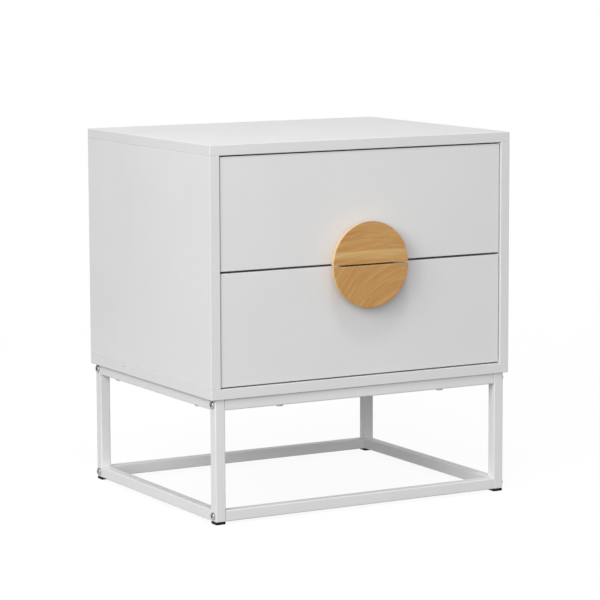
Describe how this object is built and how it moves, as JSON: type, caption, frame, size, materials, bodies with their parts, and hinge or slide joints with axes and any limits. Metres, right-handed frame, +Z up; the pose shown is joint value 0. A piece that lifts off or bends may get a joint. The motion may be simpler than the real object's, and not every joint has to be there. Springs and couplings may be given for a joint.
{
  "type": "nightstand",
  "caption": "Bedside cabinet with two inset drawers on roller runners, half-round wooden pulls that meet as a disc, and a bolted square-tube steel base.",
  "frame": {"origin": "on the floor, under the middle of the bounding box, which takes in the handles", "axes": "+Z up; drawers open towards -Y; +X is the right-hand side of somebody facing the drawers"},
  "size_m": [0.5, 0.4186, 0.54],
  "materials": {
    "white_melamine": "satin white melamine on 15 mm board",
    "drawer_board": "satin white foil on 12 mm board",
    "white_hardboard": "white lacquered 3 mm hardboard",
    "handle_wood": "clear-lacquered light hardwood",
    "dowel_wood": "raw beech with fluted sides",
    "white_powder_coat": "satin white powder coat on steel tube",
    "runner_epoxy": "white epoxy-coated sheet steel",
    "zinc_steel": "bright zinc plate",
    "cast_zinc": "die-cast zinc, dull",
    "nylon": "natural nylon",
    "black_plastic": "black moulded plastic, matt"
  },
  "bodies": {
    "cabinet": {"top_panel": "white_melamine", "bottom_panel": "white_melamine", "left_side_panel": "white_melamine", "right_side_panel": "white_melamine", "back_panel": "white_hardboard", "cabinet_cam_bolts": "zinc_steel", "cabinet_cam_locks": "cast_zinc", "cabinet_dowels": "dowel_wood", "carcass_screws": "zinc_steel", "left_side_frame": "white_powder_coat", "right_side_frame": "white_powder_coat", "front_upper_rail": "white_powder_coat", "front_lower_rail": "white_powder_coat", "rear_upper_rail": "white_powder_coat", "rear_lower_rail": "white_powder_coat", "rail_end_plates": "white_powder_coat", "frame_bolts": "zinc_steel", "frame_mount_screws": "zinc_steel", "feet": "black_plastic", "cabinet_runner_screws": "zinc_steel", "cabinet_roller_axles": "zinc_steel", "upper_left_cabinet_runner": "runner_epoxy", "upper_right_cabinet_runner": "runner_epoxy", "lower_left_cabinet_runner": "runner_epoxy", "lower_right_cabinet_runner": "runner_epoxy"},
    "upper_drawer": {"upper_drawer_front": "white_melamine", "upper_drawer_left_side": "drawer_board", "upper_drawer_right_side": "drawer_board", "upper_drawer_back": "drawer_board", "upper_drawer_bottom": "white_hardboard", "upper_drawer_cam_bolts": "zinc_steel", "upper_drawer_cam_locks": "cast_zinc", "upper_drawer_screws": "zinc_steel", "upper_drawer_roller_axles": "zinc_steel", "upper_handle": "handle_wood", "upper_handle_screws": "zinc_steel", "upper_left_drawer_runner": "runner_epoxy", "upper_right_drawer_runner": "runner_epoxy"},
    "lower_drawer": {"lower_drawer_front": "white_melamine", "lower_drawer_left_side": "drawer_board", "lower_drawer_right_side": "drawer_board", "lower_drawer_back": "drawer_board", "lower_drawer_bottom": "white_hardboard", "lower_drawer_cam_bolts": "zinc_steel", "lower_drawer_cam_locks": "cast_zinc", "lower_drawer_screws": "zinc_steel", "lower_drawer_roller_axles": "zinc_steel", "lower_handle": "handle_wood", "lower_handle_screws": "zinc_steel", "lower_left_drawer_runner": "runner_epoxy", "lower_right_drawer_runner": "runner_epoxy"},
    "upper_left_front_roller": {"upper_left_front_roller": "nylon"},
    "upper_left_rear_roller": {"upper_left_rear_roller": "nylon"},
    "upper_right_front_roller": {"upper_right_front_roller": "nylon"},
    "upper_right_rear_roller": {"upper_right_rear_roller": "nylon"},
    "lower_left_front_roller": {"lower_left_front_roller": "nylon"},
    "lower_left_rear_roller": {"lower_left_rear_roller": "nylon"},
    "lower_right_front_roller": {"lower_right_front_roller": "nylon"},
    "lower_right_rear_roller": {"lower_right_rear_roller": "nylon"}
  },
  "joints": [
    {"name": "upper_drawer_slide", "type": "slide", "parent": "cabinet", "child": "upper_drawer", "axis": [0, -1, 0], "range_m": [0, 0.25]},
    {"name": "lower_drawer_slide", "type": "slide", "parent": "cabinet", "child": "lower_drawer", "axis": [0, -1, 0], "range_m": [0, 0.25]},
    {"name": "upper_left_front_roller_spin", "type": "hinge", "parent": "cabinet", "child": "upper_left_front_roller", "pos_m": [-0.2293, -0.16025, 0.383], "axis": [1, 0, 0], "continuous": true},
    {"name": "upper_left_rear_roller_spin", "type": "hinge", "parent": "upper_drawer", "child": "upper_left_rear_roller", "pos_m": [-0.2293, 0.16325, 0.383], "axis": [1, 0, 0], "continuous": true},
    {"name": "upper_right_front_roller_spin", "type": "hinge", "parent": "cabinet", "child": "upper_right_front_roller", "pos_m": [0.2293, -0.16025, 0.383], "axis": [1, 0, 0], "continuous": true},
    {"name": "upper_right_rear_roller_spin", "type": "hinge", "parent": "upper_drawer", "child": "upper_right_rear_roller", "pos_m": [0.2293, 0.16325, 0.383], "axis": [1, 0, 0], "continuous": true},
    {"name": "lower_left_front_roller_spin", "type": "hinge", "parent": "cabinet", "child": "lower_left_front_roller", "pos_m": [-0.2293, -0.16025, 0.2185], "axis": [1, 0, 0], "continuous": true},
    {"name": "lower_left_rear_roller_spin", "type": "hinge", "parent": "lower_drawer", "child": "lower_left_rear_roller", "pos_m": [-0.2293, 0.16325, 0.2185], "axis": [1, 0, 0], "continuous": true},
    {"name": "lower_right_front_roller_spin", "type": "hinge", "parent": "cabinet", "child": "lower_right_front_roller", "pos_m": [0.2293, -0.16025, 0.2185], "axis": [1, 0, 0], "continuous": true},
    {"name": "lower_right_rear_roller_spin", "type": "hinge", "parent": "lower_drawer", "child": "lower_right_rear_roller", "pos_m": [0.2293, 0.16325, 0.2185], "axis": [1, 0, 0], "continuous": true}
  ],
  "couplings": [
    {"joint": "upper_left_front_roller_spin", "follows": "upper_drawer_slide", "rad_per_m": 105.26},
    {"joint": "upper_left_rear_roller_spin", "follows": "upper_drawer_slide", "rad_per_m": 105.26},
    {"joint": "upper_right_front_roller_spin", "follows": "upper_drawer_slide", "rad_per_m": 105.26},
    {"joint": "upper_right_rear_roller_spin", "follows": "upper_drawer_slide", "rad_per_m": 105.26},
    {"joint": "lower_left_front_roller_spin", "follows": "lower_drawer_slide", "rad_per_m": 105.26},
    {"joint": "lower_left_rear_roller_spin", "follows": "lower_drawer_slide", "rad_per_m": 105.26},
    {"joint": "lower_right_front_roller_spin", "follows": "lower_drawer_slide", "rad_per_m": 105.26},
    {"joint": "lower_right_rear_roller_spin", "follows": "lower_drawer_slide", "rad_per_m": 105.26}
  ]
}
